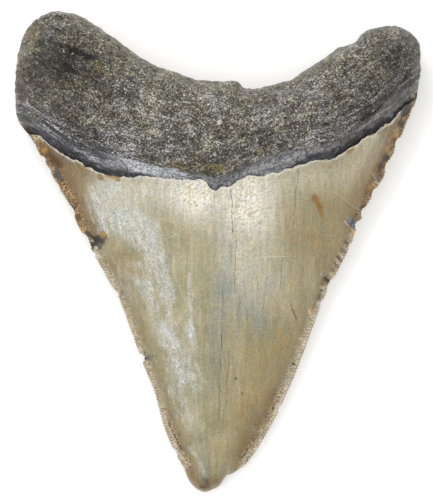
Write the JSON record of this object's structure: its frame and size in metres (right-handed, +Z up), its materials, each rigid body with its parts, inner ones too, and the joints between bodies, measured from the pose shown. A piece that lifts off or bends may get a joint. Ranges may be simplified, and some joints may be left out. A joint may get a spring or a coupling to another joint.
{
  "type": "fossil megalodon tooth",
  "caption": "Large triangular fossil shark tooth with a dark two-lobed root, a slate band below it and a grey-beige enamel crown with serrated cutting edges.",
  "frame": {"origin": "under the middle of the tooth's outline, on the surface it lies on", "axes": "+X across the tooth to the right as seen from above with the tip towards the viewer, +Y from the tip to the root, +Z up out of the rounded lingual face"},
  "size_m": [0.1012, 0.1198, 0.0268],
  "materials": {
    "fossil": "dark, matt, finely porous root; satin slate band; glossy grey-beige enamel with amber edges and fine dark cracks"
  },
  "bodies": {
    "root": {"tooth": "fossil"}
  },
  "joints": []
}
